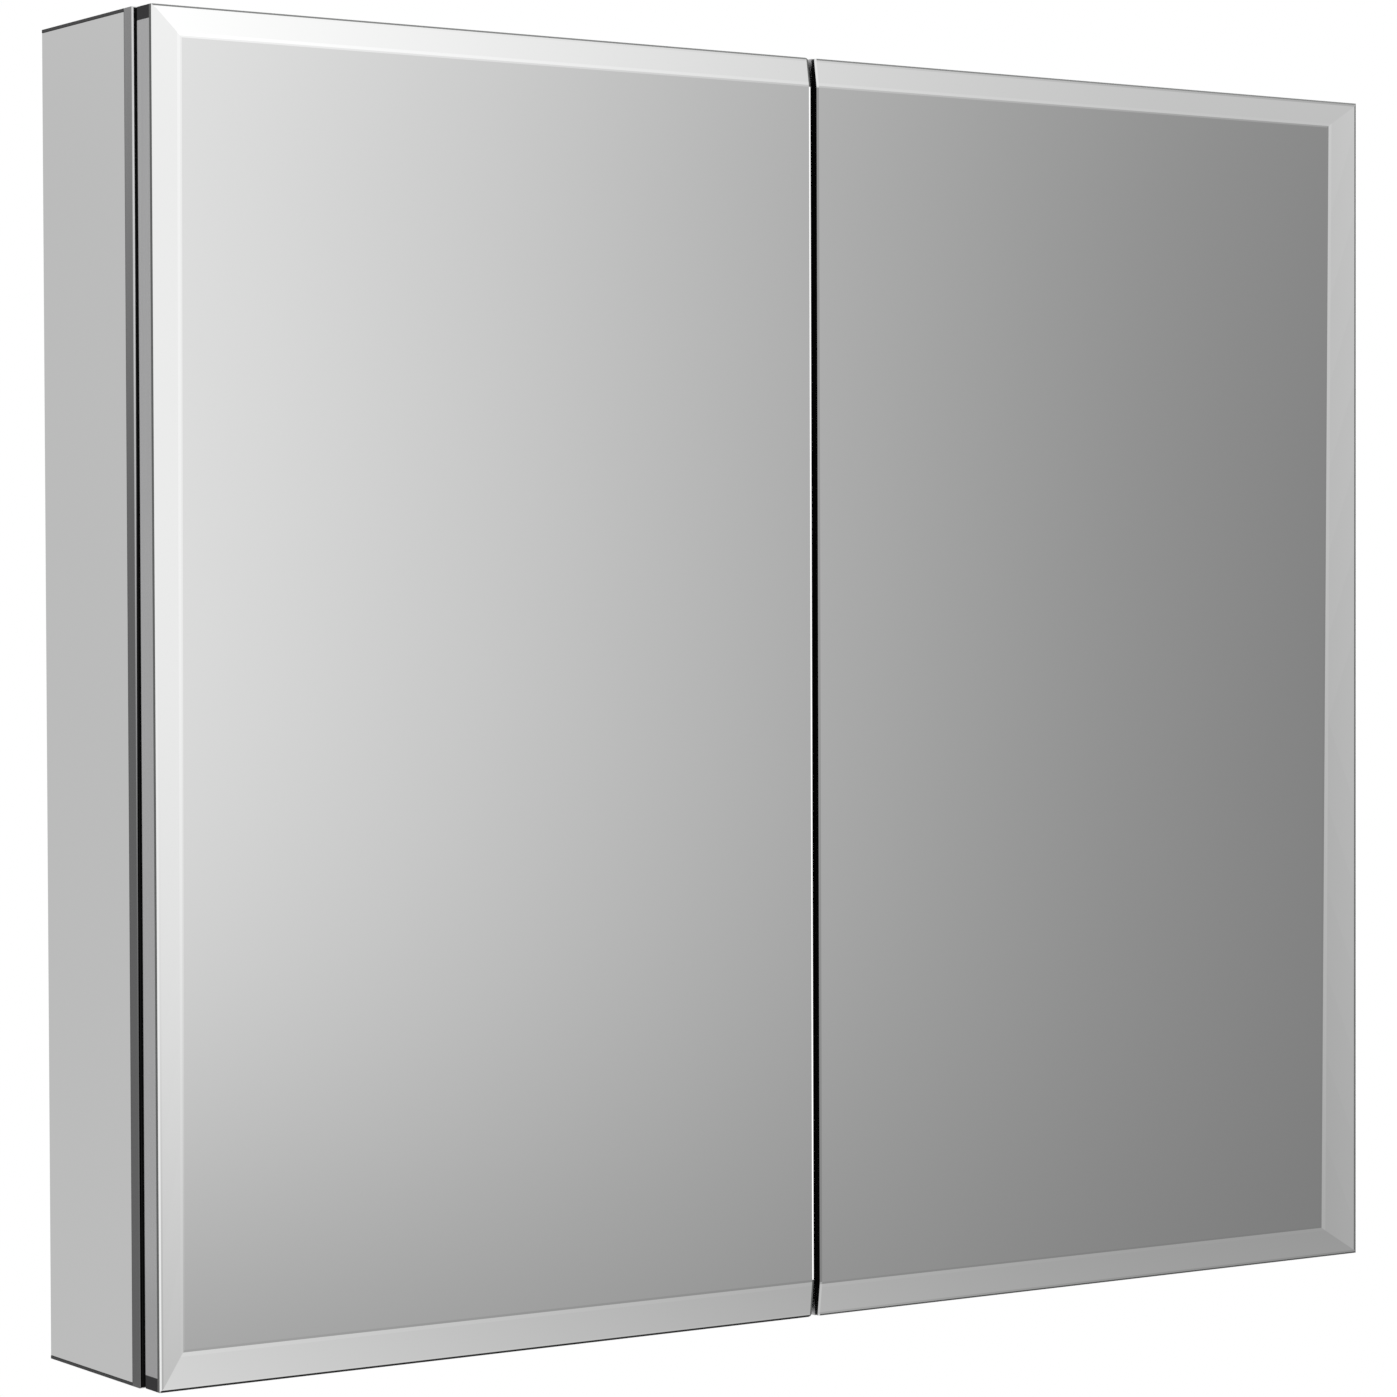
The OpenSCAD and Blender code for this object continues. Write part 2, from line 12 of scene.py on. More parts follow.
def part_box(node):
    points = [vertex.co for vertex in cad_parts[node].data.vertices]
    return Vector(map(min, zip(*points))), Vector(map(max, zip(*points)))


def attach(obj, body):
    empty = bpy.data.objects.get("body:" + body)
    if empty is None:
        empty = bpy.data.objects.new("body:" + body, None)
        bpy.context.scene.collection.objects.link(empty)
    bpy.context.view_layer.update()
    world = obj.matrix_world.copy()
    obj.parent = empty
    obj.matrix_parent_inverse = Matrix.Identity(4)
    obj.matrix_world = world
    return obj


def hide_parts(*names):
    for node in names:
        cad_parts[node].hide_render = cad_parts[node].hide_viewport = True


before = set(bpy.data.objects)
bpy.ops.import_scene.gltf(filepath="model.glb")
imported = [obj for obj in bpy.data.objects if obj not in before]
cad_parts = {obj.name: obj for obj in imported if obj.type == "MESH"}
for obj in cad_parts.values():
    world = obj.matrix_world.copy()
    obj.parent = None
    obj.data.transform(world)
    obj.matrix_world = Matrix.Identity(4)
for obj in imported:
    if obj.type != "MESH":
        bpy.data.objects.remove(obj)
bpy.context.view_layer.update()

MM = 0.001
DEGREES = 180 / math.pi


# ---------------------------------------------------------------- shader maths

class Term:
    """A shader socket that takes part in arithmetic: each operator adds one Math node."""

    def __init__(self, tree, socket):
        self.tree, self.socket = tree, socket

    def math(self, operation, *others):
        values = {i + 1: v for i, v in enumerate(others)}
        return self.tree.term("ShaderNodeMath", {"operation": operation}, {0: self, **values})

    def swapped(self, operation, first):
        return self.tree.term("ShaderNodeMath", {"operation": operation}, {0: first, 1: self})

    def __add__(self, other):
        return self.math("ADD", other)

    __radd__ = __add__

    def __mul__(self, other):
        return self.math("MULTIPLY", other)

    __rmul__ = __mul__

    def __sub__(self, other):
        return self.math("SUBTRACT", other)

    def __rsub__(self, other):
        return self.swapped("SUBTRACT", other)

    def __truediv__(self, other):
        return self.math("DIVIDE", other)

    def __neg__(self):
        return self.math("MULTIPLY", -1.0)

    def exp(self):
        return self.math("EXPONENT")

    def size(self):
        return self.math("ABSOLUTE")

    def bell(self, centre, width):
        """1 at the centre, falling as exp(-((x - centre) / width)^2)."""
        off = (self - centre) / width
        return (-(off * off)).exp()

    def step(self, low, high):
        """0 below low, 1 above high, and a smooth step between them."""
        values = {"Value": self, "From Min": low, "From Max": high}
        settings = {"interpolation_type": "SMOOTHSTEP"}
        return self.tree.term("ShaderNodeMapRange", settings, values)


class Tree:
    """The emptied node tree of a material or a world, and the one method that adds nodes to it."""

    def __init__(self, holder):
        holder.use_nodes = True
        self.tree = holder.node_tree
        self.tree.nodes.clear()

    def node(self, kind, settings=None, values=None):
        made = self.tree.nodes.new(kind)
        for name, value in (settings or {}).items():
            setattr(made, name, value)
        for name, value in (values or {}).items():
            socket = made.inputs[name]
            value = value.socket if isinstance(value, Term) else value
            if isinstance(value, bpy.types.NodeSocket):
                self.tree.links.new(value, socket)
            else:
                socket.default_value = value
        return made

    def term(self, kind, settings=None, values=None, output=0):
        return Term(self, self.node(kind, settings, values).outputs[output])

    def place(self):
        """Object coordinates as one vector and as X, Y and Z terms."""
        vector = self.node("ShaderNodeTexCoord").outputs["Object"]
        parts = self.node("ShaderNodeSeparateXYZ", values={0: vector})
        return vector, [Term(self, out) for out in parts.outputs]

    def noise(self, vector, scale, detail=3.0, stretch=(1, 1, 1)):
        """Noise from 0 to 1 with its middle near 0.5; stretch multiplies the scale on each axis."""
        at = self.node("ShaderNodeMapping", values={"Vector": vector, "Scale": stretch})
        values = {"Vector": at.outputs[0], "Scale": scale, "Detail": detail}
        return self.term("ShaderNodeTexNoise", None, values)

    def blend(self, factor, first, second):
        """Colour that goes from first to second as the factor goes from 0 to 1."""
        made = self.node("ShaderNodeMix", {"data_type": "RGBA"}, {0: factor, 6: first, 7: second})
        return made.outputs[2]

    def bump(self, height, depth):
        values = {"Height": height, "Strength": 1.0, "Distance": depth}
        return self.node("ShaderNodeBump", None, values).outputs[0]


def colour(red, green, blue):
    return (red, green, blue, 1.0)


def material(name, recipe, slanted=None, turn=None):
    """A new material whose Principled shader gets the sockets that recipe(tree) returns.

    With slanted, a second recipe takes over where the surface is seen at a slant: turn holds the two
    facing values, 0 face on and 1 edge on, between which one gives way to the other."""
    made = bpy.data.materials.new(name)
    tree = Tree(made)
    shader = tree.node("ShaderNodeBsdfPrincipled", None, recipe(tree))
    if slanted:
        slant = tree.term("ShaderNodeLayerWeight", None, {"Blend": 0.5}, "Facing")
        second = tree.node("ShaderNodeBsdfPrincipled", None, slanted(tree))
        values = {0: slant.step(*turn), 1: shader.outputs[0], 2: second.outputs[0]}
        shader = tree.node("ShaderNodeMixShader", None, values)
    tree.node("ShaderNodeOutputMaterial", None, {"Surface": shader.outputs[0]})
    return made


# ---------------------------------------------------------------- materials

def silvered(tone=0.93, cloud=0.012):
    """Silver behind clear glass: a mirror with a faint cloudiness and polishing haze."""
    def recipe(tree):
        at, _ = tree.place()
        haze = tree.noise(at, 5.0, 4.0)
        wipe = tree.noise(at, 38.0, 3.0, (1, 1, 0.35))
        light, dim = tone * (1 + cloud), tone * (1 - cloud)
        tint = tree.blend(haze, colour(dim, dim * 1.004, dim), colour(light, light * 1.003, light))
        return {"Base Color": tint, "Metallic": 1.0, "Roughness": 0.012 + 0.02 * haze * wipe}
    return recipe


def polished_edge():
    """Edge of the glass where it is polished: near black, as painted shade for the dark inside behind it."""
    def recipe(tree):
        at, _ = tree.place()
        ripple = tree.noise(at, 60.0, 2.0, (1, 1, 0.1))
        tint = tree.blend(ripple, colour(0.003, 0.003, 0.003), colour(0.006, 0.006, 0.006))
        return {"Base Color": tint, "Roughness": 0.05 + 0.04 * ripple, "IOR": 1.3}
    return recipe


def ground_edge(low=0.055, high=0.105, ior=1.45):
    """Edge of the glass under the bevel, ground matt, with the streaks of the wheel along it."""
    def recipe(tree):
        at, _ = tree.place()
        streak = tree.noise(at, 900.0, 2.0, (1, 1, 0.06))
        grain = tree.noise(at, 2600.0, 2.0)
        dark, light = (colour(tone, tone * 1.03, tone * 1.01) for tone in (low, high))
        tint = tree.blend(streak, dark, light)
        return {"Base Color": tint, "Roughness": 0.34 + 0.14 * streak, "IOR": ior,
                "Normal": tree.bump(grain, 0.00002)}
    return recipe


def backing_paint():
    """Grey protective paint over the silver, with a slight orange peel."""
    def recipe(tree):
        at, _ = tree.place()
        peel = tree.noise(at, 420.0, 3.0)
        tint = tree.blend(peel, colour(0.25, 0.26, 0.27), colour(0.33, 0.34, 0.35))
        return {"Base Color": tint, "Roughness": 0.5 + 0.1 * peel, "Normal": tree.bump(peel, 0.00008)}
    return recipe


# How much longer than wide brushing lines are, as the scale of the noise along them
BRUSH_STRETCH = 0.006
# The painted highlight and shadow on a front corner: the depth in which the painted highlight rises, its
# bright line's width at the foot and what that gains by the head, the depth in which painted shadow, black,
# takes over beyond, and the heights of foot and head
PAINTED_HIGHLIGHT_RISE, CORNER_LINE, PAINTED_HIGHLIGHT_GAIN, PAINTED_SHADOW_FALL = 0.6 * MM, 0.5 * MM, 0.7 * MM, 0.4 * MM
PAINTED_LIGHT_HEIGHTS = (-0.2, 0.3)


def brushed(along, tone, rough=0.24, contrast=0.10, painted_shade=None, corner=None):
    """Anodised aluminium brushed along one axis: long fine lines in tone, gloss and relief.

    The fifth argument is (share at the foot, share at the head, foot height, head height) for painted
    shade that darkens the finish downwards. corner is (how far out from the wall, share at the foot,
    share at the head) for a painted highlight along the front corner; its bright line is narrower at the
    foot, and painted shadow, black, lies beyond."""
    stretch = {"x": (BRUSH_STRETCH, 1, 1), "z": (1, 1, BRUSH_STRETCH)}[along]

    def shaded(tree, tint, share):
        grey = tree.node("ShaderNodeCombineXYZ", None, {0: share, 1: share, 2: share}).outputs[0]
        return tree.node("ShaderNodeMix", {"data_type": "RGBA", "blend_type": "MULTIPLY"},
                         {0: 1.0, 6: tint, 7: grey}).outputs[2]

    def recipe(tree):
        at, (_, depth, height) = tree.place()
        fine = tree.noise(at, 3200.0, 2.0, stretch)
        broad = tree.noise(at, 420.0, 3.0, stretch)
        patch = tree.noise(at, 9.0, 2.0)
        mark = fine * 0.55 + broad * 0.3 + patch * 0.15
        low, high = tone * (1 - contrast), tone * (1 + contrast)
        tint = tree.blend(mark, colour(low, low, low * 1.008), colour(high, high, high * 1.008))
        # Painted shade: the finish darkens towards the foot
        if painted_shade:
            foot, head, foot_height, head_height = painted_shade
            share = foot + (head - foot) * height.step(foot_height, head_height)
            # Painted highlight along the front corner, with painted shadow, black, beyond it
            if corner:
                out, highlight_foot, highlight_head = corner
                up = height.step(*PAINTED_LIGHT_HEIGHTS)
                bright = highlight_foot + (highlight_head - highlight_foot) * up
                share = share + (bright - share) * (-depth).step(out, out + PAINTED_HIGHLIGHT_RISE)
                end = out + CORNER_LINE + PAINTED_HIGHLIGHT_GAIN * up
                share = share * (1 - (-depth - end).step(0, PAINTED_SHADOW_FALL))
            tint = shaded(tree, tint, share)
        return {"Base Color": tint, "Metallic": 1.0, "Roughness": rough - 0.05 + 0.1 * mark,
                "Normal": tree.bump(fine, 0.000006)}
    return recipe


def satin_sheet(tone, cut_at=None):
    """Sheet aluminium with a fine even blast finish and faint rolling streaks.
    Beyond cut_at to either side it is the dark cut edge of the sheet."""
    def recipe(tree):
        at, (side, _, _) = tree.place()
        blast = tree.noise(at, 1500.0, 2.0)
        roll = tree.noise(at, 60.0, 3.0, (0.04, 1, 1))
        mark = blast * 0.5 + roll * 0.5
        tint = tree.blend(mark, colour(tone * 0.92, tone * 0.925, tone * 0.93),
                          colour(tone * 1.05, tone * 1.055, tone * 1.06))
        if cut_at:
            tint = tree.blend(side.size().step(cut_at, cut_at + 0.3 * MM), tint, colour(0.07, 0.07, 0.072))
        return {"Base Color": tint, "Metallic": 1.0, "Roughness": 0.38 + 0.1 * mark,
                "Normal": tree.bump(blast, 0.00001)}
    return recipe


def moulded(low, high, rough, grain, depth, metallic=0.0, ior=1.5):
    """Moulded, cast or coated stuff: two close tones and an even grain of the given scale and depth."""
    def recipe(tree):
        at, _ = tree.place()
        pore = tree.noise(at, grain, 3.0)
        patch = tree.noise(at, grain * 0.03, 2.0)
        mark = pore * 0.6 + patch * 0.4
        tint = tree.blend(mark, colour(*low), colour(*high))
        return {"Base Color": tint, "Metallic": metallic, "Roughness": rough - 0.06 + 0.12 * mark,
                "IOR": ior, "Normal": tree.bump(pore, depth)}
    return recipe


def plated(tone, warm, rough):
    """Bright plating over a stamped or turned part: nearly even, with slight clouding and pits."""
    def recipe(tree):
        at, _ = tree.place()
        cloud = tree.noise(at, 140.0, 4.0)
        pit = tree.noise(at, 2400.0, 2.0)
        mark = cloud * 0.7 + pit * 0.3
        tint = tree.blend(mark, colour(tone * 0.93, tone * 0.925, tone * 0.92 * warm),
                          colour(tone * 1.04, tone * 1.035, tone * 1.03 * warm))
        return {"Base Color": tint, "Metallic": 1.0, "Roughness": rough - 0.04 + 0.09 * mark,
                "Normal": tree.bump(pit, 0.000008)}
    return recipe


def clear_glass(tint_low, tint_high, rough):
    """Clear glass with a slight green tint that varies a little across the sheet."""
    def recipe(tree):
        at, _ = tree.place()
        drift = tree.noise(at, 4.0, 2.0)
        tint = tree.blend(drift, colour(*tint_low), colour(*tint_high))
        return {"Base Color": tint, "Roughness": rough + 0.01 * drift, "IOR": 1.52,
                "Transmission Weight": 1.0}
    return recipe


def fibre_board():
    """Pressed fibre board: short tan fibres with darker flecks."""
    def recipe(tree):
        at, _ = tree.place()
        fibre = tree.noise(at, 700.0, 4.0, (0.3, 1, 1))
        fleck = tree.noise(at, 180.0, 2.0).step(0.62, 0.7)
        tint = tree.blend(fibre, colour(0.40, 0.29, 0.18), colour(0.58, 0.45, 0.30))
        tint = tree.blend(fleck, tint, colour(0.25, 0.17, 0.10))
        return {"Base Color": tint, "Roughness": 0.7 + 0.1 * fibre, "Normal": tree.bump(fibre, 0.0001)}
    return recipe


SILVER = material("door_silver", silvered())
# The crease takes a brighter copy of the silver: a painted highlight along it
CREASE = material("bevel_crease_painted_highlight", silvered(0.99))
SIDE_SILVER = material("side_silver", silvered(0.93, 0.01))
BEVEL_RIM = material("bevel_rim", silvered(), ground_edge(0.09, 0.16), (0.20, 0.30))
# Meeting rim: darkened silver face on as a painted reflection of the dark gap, brighter silver at a slant
MEETING_RIM = material("meeting_rim_painted_reflection", silvered(0.34), silvered(1.0, 0.0), (0.22, 0.34))
# A dimmed copy of the silver: painted shade where the right door's meeting chamfer crosses the bevels
MEETING_END_SILVER = material("meeting_end_silver_painted_shade", silvered(0.62))
# Polished edges: near-black painted shade stands for the dark inside seen through them
POLISHED = material("polished_glass_edge_painted_shade", polished_edge())
GROUND = material("ground_glass_edge", ground_edge())
# Ground edges in painted shade and light: the undersides of the doors are painted darker, the left one the
# darker of them, and the upper edge is painted lighter
UNDER = {"left": material("ground_glass_underside_left_painted_shade", ground_edge(0.003, 0.01, 1.25)),
         "right": material("ground_glass_underside_right_painted_shade", ground_edge(0.02, 0.045))}
UPPER = material("ground_glass_upper_painted_light", ground_edge(0.13, 0.21))
PAINT = material("mirror_backing_paint", backing_paint())
# Door stiles: painted shade darkens them towards the foot
UPRIGHT = material("aluminium_brushed_upright_painted_shade", brushed("z", 0.62, painted_shade=(0.88, 1.0, -0.30, -0.26)))
LEVEL = material("aluminium_brushed_level", brushed("x", 0.70))
WALL = material("case_wall_brushed", brushed("z", 0.74, 0.3))
SHELL = material("case_plate_brushed", brushed("x", 0.74, 0.3))
# Face frame stiles: painted shade towards the foot, painted highlight on the front corner, painted shadow
# beyond
FACE_UPRIGHT = material("face_frame_upright_painted_light_and_shade", brushed("z", 0.62, 0.22, 0.12, (0.27, 0.66, 0.02, 0.4),
                                                      (0.0990, 0.36, 1.1)))
FACE_LEVEL = material("face_frame_level", brushed("x", 0.40, 0.22))
SHEET = material("satin_sheet", satin_sheet(0.66))
COVER_CUT = 0.3803
COVER = material("cover_sheet", satin_sheet(0.66, COVER_CUT))
RUBBER = material("black_rubber", moulded((0.002, 0.002, 0.002), (0.005, 0.005, 0.005), 0.85, 900.0,
                                          0.00004, ior=1.15))
PLASTIC = material("dark_plastic", moulded((0.008, 0.008, 0.009), (0.020, 0.020, 0.022), 0.55, 1300.0,
                                           0.00002, ior=1.3))
SOFT_CLEAR = material("soft_pads", moulded((0.66, 0.68, 0.68), (0.78, 0.80, 0.80), 0.32, 500.0, 0.00002))
NICKEL = material("nickel_plate", plated(0.70, 0.97, 0.2))
ZINC = material("zinc_plate", plated(0.62, 1.02, 0.28))
FERRITE = material("magnet", moulded((0.035, 0.035, 0.037), (0.07, 0.07, 0.074), 0.5, 1100.0, 0.00002, 0.6))
BOARD = material("fibre_board", fibre_board())
SHELF = material("shelf_glass", clear_glass((0.90, 0.955, 0.935), (0.94, 0.975, 0.96), 0.005))
SHELF_EDGE = material("shelf_glass_edge", clear_glass((0.46, 0.74, 0.64), (0.55, 0.80, 0.71), 0.12))

NODE_FINISH = {
    WALL: ["side_panel_left", "side_panel_right"],
    SHELL: ["top_panel", "bottom_panel"],
    COVER: ["top_cover", "bottom_cover"],
    SHEET: ["back_panel", "fixing_rail_top", "fixing_rail_bottom", "back_rivets"],
    FACE_UPRIGHT: ["face_stile_left", "face_stile_right"],
    FACE_LEVEL: ["face_rail_top", "face_rail_bottom"],
    PLASTIC: ["corner_keys", "catch_bodies", "stile_caps_left", "stile_caps_right"],
    UPRIGHT: ["hinge_stile_left", "hinge_stile_right", "meeting_stile_left", "meeting_stile_right"],
    LEVEL: ["door_rail_top_left", "door_rail_top_right", "door_rail_bottom_left",
            "door_rail_bottom_right"],
    NICKEL: ["hinge_plates", "hinge_arms", "hinge_cups_left", "hinge_cups_right", "shelf_pins"],
    ZINC: ["cover_screws", "hinge_plate_screws", "hinge_adjusters", "cup_screws_left",
           "cup_screws_right", "hinge_pins_left", "hinge_pins_right", "catch_strikes_left",
           "catch_strikes_right"],
    FERRITE: ["catch_magnets"],
    SOFT_CLEAR: ["shelf_pads", "bumpers_left", "bumpers_right"],
    BOARD: ["door_core_left", "door_core_right"],
}


def dress_nodes():
    """Gives every carried-over node its finish."""
    for finish, names in NODE_FINISH.items():
        for name in names:
            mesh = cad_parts[name].data
            mesh.materials.clear()
            mesh.materials.append(finish)


# ---------------------------------------------------------------- meshes

def piece(name, points, triangles, kinds, finishes, body, slot, *nodes):
    """Makes a mesh piece from arrays, with one finish index a face, ties it to its body and hides its nodes.
    """
    mesh = bpy.data.meshes.new(name)
    mesh.from_pydata(points.tolist(), [], triangles.tolist() if hasattr(triangles, "tolist") else triangles)
    for finish in finishes:
        mesh.materials.append(finish)
    mesh.polygons.foreach_set("material_index", np.asarray(kinds, np.int32))
    mesh.update()
    made = bpy.data.objects.new(name, mesh)
    bpy.context.scene.collection.objects.link(made)
    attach(made, body)
    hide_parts(*nodes)
    return made


def drop_at(distance, profile):
    """How far the front lies behind the flat at a distance from an edge; profile is (distances, drops)."""
    return np.interp(distance, profile[0], profile[1])


# Which finish a strip of glass takes: the order of the finishes of a pane
(SILVERED, GROUND_EDGE, POLISHED_EDGE, BACK, RIM, CREASE_LINE, MEETING, MEETING_END, UNDER_EDGE,
 UPPER_EDGE) = range(10)
# How far the front of every bevel lies behind the flat: at the edge, past the arris, past the rim, where
# the crease starts, where it ends, and on the flat
BEVEL_DROPS = np.array([2.7, 2.1, 2.0, 0.285, 0.06, 0]) * MM
# Where the rim ends, in millimetres, and where the crease starts and ends, as shares of the width
RIM_END, CREASE_START, CREASE_END = 1.9, 0.84, 0.94


def bevel(width, arris, rim=SILVERED, arris_width=0.9):
    """Profile of a bevelled edge: arris, rim, facet, crease and a soft step down to the flat.

    A profile is the distances in from the edge, the drop behind the flat there, and the finish that
    follows each. All bevels share the drops, so that two of them meet in a true mitre."""
    distances = np.array([0, arris_width, RIM_END, CREASE_START * width, CREASE_END * width, width])
    return distances * MM, BEVEL_DROPS, [arris, rim, SILVERED, CREASE_LINE, SILVERED, SILVERED]


def chamfer(width, drop, finish):
    """Profile of a plain chamfer."""
    return np.array([0, width]) * MM, np.array([drop, 0]) * MM, [finish, SILVERED]


FINE = chamfer(0.25, 0.25, GROUND_EDGE)
MEETING_EDGE = chamfer(1.2, 0.4, MEETING)
TOP_BEVEL = bevel(15.3, UPPER_EDGE)
# Each door's bevel along the bottom, and its bevel along the hinge edge with its widths at foot and head
BOTTOM_BEVEL = {"left": bevel(19.8, UNDER_EDGE, arris_width=1.1), "right": bevel(18.1, UNDER_EDGE)}
HINGE_BEVEL = {"left": bevel(13.25, RIM, RIM), "right": bevel(27.5, RIM, RIM)}
HINGE_BEVEL_WIDTHS = {"left": (11.8 * MM, 14.7 * MM), "right": (30.5 * MM, 24.5 * MM)}


# Even grid lines across a pane and up it, the rounded corner of a door mirror with its grid lines as
# shares of the radius, how far in the rounding fades out, and the deepest drop as a share of thickness
FILLERS_U, FILLERS_V = 10, 12
CORNER_RADIUS, CORNER_LINES, CORNER_FADE = 1.2 * MM, (0.08, 0.3, 0.6, 1.0), 3 * MM
DEEPEST = 0.9


def lines_between(low, high, low_profile, high_profile, fillers):
    """Grid lines from low to high: at each profile's stations at its end, and evenly between them."""
    start, end = low + low_profile[0], high - high_profile[0][::-1]
    middle = np.linspace(start[-1], end[0], fillers + 2)[1:-1]
    return np.unique(np.concatenate([start, middle, end]).round(7))


def strip_of(distance, profile):
    """Which strip of a profile each distance falls in; the last is the flat beyond it."""
    return np.searchsorted(profile[0], distance, side="right") - 1


def pane_grid(size_u, size_v, thickness, edges, corner=0.0, taper=None):
    """A sheet of glass on a grid of u and v, its front at w = 0 and its back at w = thickness.

    edges holds the profiles at low u, high u, low v and high v. The front at (u, v) lies behind the
    flat by the largest drop of the low-u and both v edges, so that bevels meet in mitres, plus the
    drop of the high-u edge. The two corners at high u are rounded by a radius: near them u moves back
    by radius - sqrt(radius^2 - (radius - distance to the end)^2), fading out over the last 3 mm.
    taper holds the widths that the low-u bevel has at low v and at high v: its lines are then stretched
    in proportion. Returns points, triangles and the finish of each."""
    low_u, high_u, low_v, high_v = edges
    us = lines_between(0, size_u, low_u, high_u, FILLERS_U)
    vs = lines_between(0, size_v, low_v, high_v, FILLERS_V)
    if corner:
        ends = corner * np.array(CORNER_LINES)
        vs = np.unique(np.concatenate([vs, ends, size_v - ends]).round(7))
        us = np.unique(np.append(us, size_u - CORNER_FADE).round(7))
    u, v = np.meshgrid(us, vs, indexing="ij")
    from_high_u, from_end_v = size_u - u, np.minimum(v, size_v - v)
    w = np.max([drop_at(u, low_u), drop_at(v, low_v), drop_at(size_v - v, high_v)], axis=0)
    w = w + drop_at(from_high_u, high_u)
    if corner:
        short = np.clip(corner - from_end_v, 0, corner)
        back = corner - np.sqrt(np.clip(corner ** 2 - short ** 2, 0, None))
        u = u - back * np.clip(1 - from_high_u / CORNER_FADE, 0, 1)
    w = np.minimum(w, thickness * DEEPEST)
    rear = np.stack([u, v, np.full_like(w, thickness)], -1)
    if taper:
        width = low_u[0][-1]
        wider = taper[0] + (taper[1] - taper[0]) * v / size_v - width
        u = u + wider * np.minimum(u / width, np.clip(from_high_u, 0, None) / (size_u - width))
    front = np.stack([u, v, w], -1)
    count_u, count_v = u.shape
    index = np.arange(count_u * count_v).reshape(count_u, count_v)
    a, b, c, d = index[:-1, :-1], index[1:, :-1], index[1:, 1:], index[:-1, 1:]
    # The split of each square follows the mitre that passes through it
    mid_u, mid_v = (us[:-1] + us[1:]) / 2, (vs[:-1] + vs[1:]) / 2
    rising = (mid_u[:, None] < size_u / 2) == (mid_v[None, :] < size_v / 2)
    first = np.where(rising[..., None], np.stack([a, c, b], -1), np.stack([a, d, b], -1))
    second = np.where(rising[..., None], np.stack([a, d, c], -1), np.stack([b, d, c], -1))
    # A triangle belongs to the edge whose outer strip it lies in, and on a mitre to its own side
    strip_u = strip_of(mid_u, low_u)[:, None]
    near_low_v = (mid_v < size_v / 2)[None, :]
    strip_v = np.where(near_low_v, strip_of(mid_v, low_v), strip_of(size_v - mid_v, high_v))
    finish_v = np.where(near_low_v, np.take(low_v[2], strip_of(mid_v, low_v)),
                        np.take(high_v[2], strip_of(size_v - mid_v, high_v)))
    finish_u = np.take(low_u[2], strip_u)
    meeting = (size_u - mid_u < high_u[0][-1])[:, None]
    meeting_finish = high_u[2][0]
    if meeting_finish == MEETING:
        meeting_finish = np.where(strip_v < len(low_v[0]) - 1, MEETING_END, MEETING)
    finishes = []
    for own_u in (~rising, rising):
        finish = np.where((strip_u < strip_v) | ((strip_u == strip_v) & own_u), finish_u, finish_v)
        finishes.append(np.where(meeting, meeting_finish, finish).ravel())
    total = count_u * count_v
    triangles = [first.reshape(-1, 3), second.reshape(-1, 3)]
    triangles += [triangles[0][:, ::-1] + total, triangles[1][:, ::-1] + total]
    finishes += [np.full(finishes[0].size, BACK)] * 2
    rims = [(index[0, :], GROUND_EDGE), (index[:, -1], GROUND_EDGE), (index[-1, ::-1], POLISHED_EDGE),
            (index[::-1, 0], GROUND_EDGE)]
    for rim, finish in rims:
        p, q = rim[:-1], rim[1:]
        triangles += [np.stack([p, p + total, q + total], -1), np.stack([p, q + total, q], -1)]
        finishes += [np.full(p.size, finish)] * 2
    points = np.concatenate([front.reshape(-1, 3), rear.reshape(-1, 3)])
    return points, np.concatenate(triangles), np.concatenate(finishes)


def place_pane(name, grid, axes, origin, body, finishes, *nodes):
    """Puts a pane's u, v and w along three axes from an origin; a left-handed set turns its faces over."""
    points, triangles, kinds = grid
    turn = np.array(axes, float)
    placed = points @ turn + np.array(origin)
    if np.linalg.det(turn) > 0:
        triangles = triangles[:, ::-1]
    return piece(name, placed, triangles, kinds, finishes, body, "mirror_glass", *nodes)


def build_door_mirror(side, body):
    """Front mirror of one door: bevelled on the hinge, top and bottom edges, square where the doors meet."""
    low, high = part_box("door_mirror_" + side)
    width, height, depth = high - low
    edges = (HINGE_BEVEL[side], MEETING_EDGE, BOTTOM_BEVEL[side], TOP_BEVEL)
    grid = pane_grid(width, depth, height, edges, CORNER_RADIUS, HINGE_BEVEL_WIDTHS[side])
    flip = 1 if side == "left" else -1
    origin = (low.x if side == "left" else high.x, low.y, low.z)
    axes = ((flip, 0, 0), (0, 0, 1), (0, 1, 0))
    meeting_end = GROUND if side == "left" else MEETING_END_SILVER
    finishes = [SILVER, GROUND, POLISHED, PAINT, BEVEL_RIM, CREASE, MEETING_RIM, meeting_end,
                UNDER[side], UPPER]
    return place_pane("front_mirror_" + side, grid, axes, origin, body, finishes, "door_mirror_" + side)


def build_plain_mirror(name, node, body, out, finish=None):
    """A plain mirror with finely polished edges; out is the axis and sign that its silver faces."""
    low, high = (np.array(corner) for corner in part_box(node))
    axis, sign = "xy".index(out[1]), -1 if out[0] == "-" else 1
    across = 1 - axis
    size = high - low
    grid = pane_grid(size[across], size[2], size[axis], (FINE, FINE, FINE, FINE))
    origin = low.copy()
    inward = [0, 0, 0]
    inward[axis] = -sign
    if sign > 0:
        origin[axis] = high[axis]
    along = [0, 0, 0]
    along[across] = 1
    finishes = [finish or SILVER, POLISHED, POLISHED, PAINT]
    return place_pane(name, grid, (along, (0, 0, 1), inward), origin, body, finishes, node)


